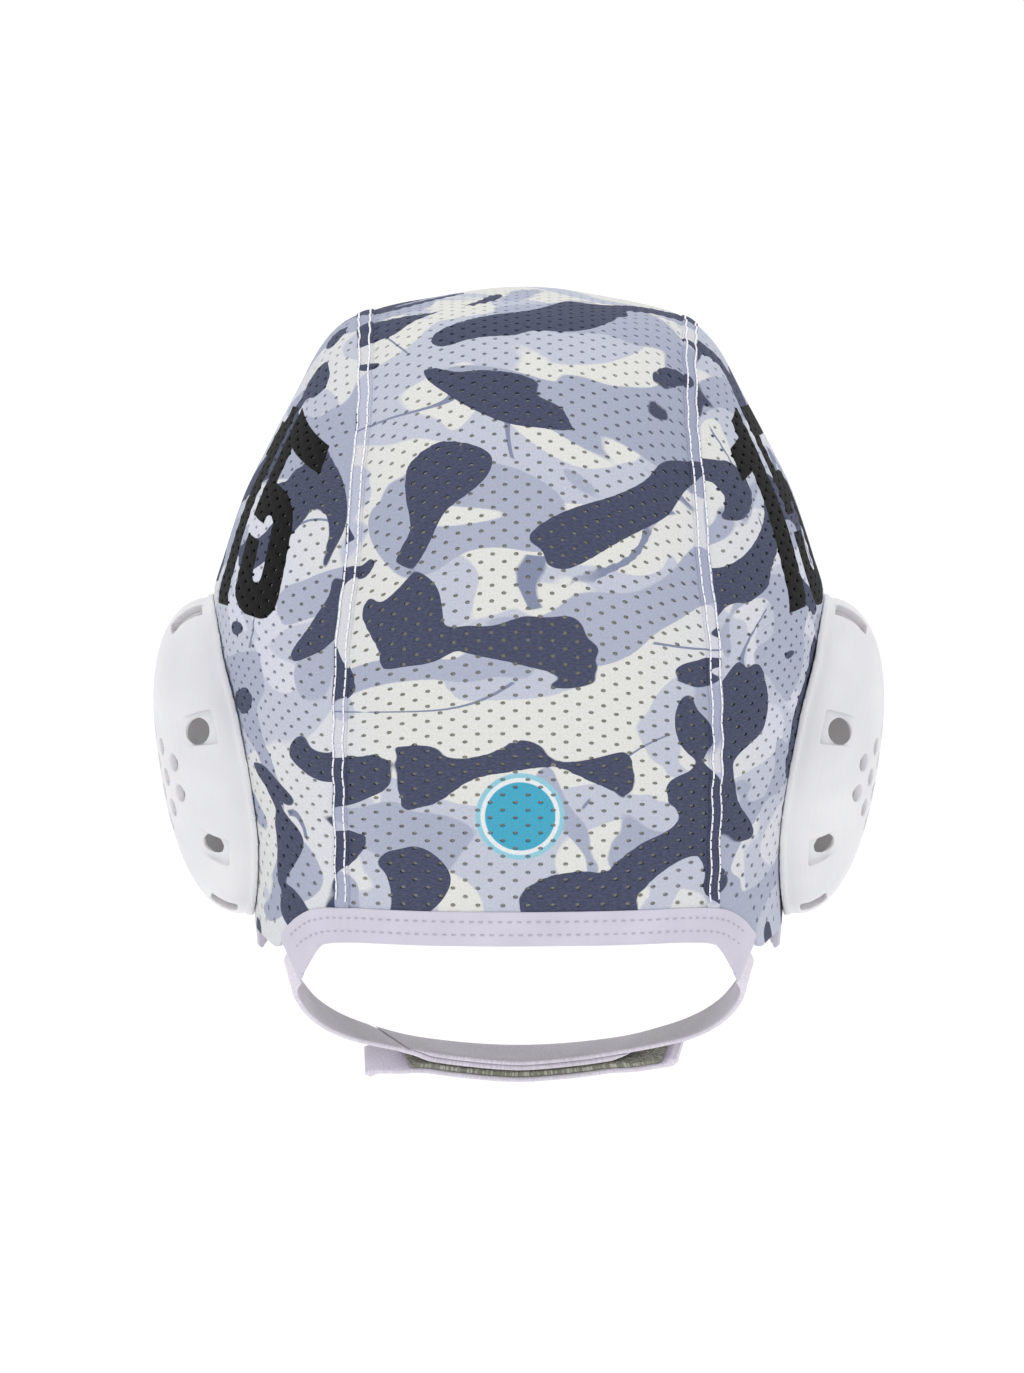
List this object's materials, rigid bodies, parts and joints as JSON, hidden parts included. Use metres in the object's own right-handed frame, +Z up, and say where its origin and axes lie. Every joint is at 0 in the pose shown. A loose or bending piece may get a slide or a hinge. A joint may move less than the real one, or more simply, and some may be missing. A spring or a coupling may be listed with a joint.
{
  "type": "water polo cap",
  "caption": "Close-fitting mesh cloth swim cap with slotted ear guards, taped edges and a hook-and-loop chin strap.",
  "frame": {"origin": "inside top of the crown, where the head's vertex sits", "axes": "+Z up, +Y towards the face, +X to the wearer's right"},
  "size_m": [0.2034, 0.1958, 0.2271],
  "materials": {
    "mesh_cloth": "perforated knit mesh, matte",
    "seam_cloth": "felled knit seam, matte",
    "edge_tape": "folded elastic tape, matte",
    "strap_webbing": "soft elastic tape, matte",
    "hook_pile": "hook tape, rough",
    "guard_shell": "moulded, soft satin"
  },
  "bodies": {
    "root": {"centre_panel": "mesh_cloth", "side_panel_left": "mesh_cloth", "side_panel_right": "mesh_cloth", "seam_band_left": "seam_cloth", "seam_band_right": "seam_cloth", "nape_tape": "edge_tape", "face_tape": "edge_tape", "chin_strap_left": "strap_webbing", "chin_strap_right": "strap_webbing", "hook_tape": "hook_pile", "closure_flap": "strap_webbing", "ear_guard_left": "guard_shell", "ear_guard_right": "guard_shell"}
  },
  "joints": []
}
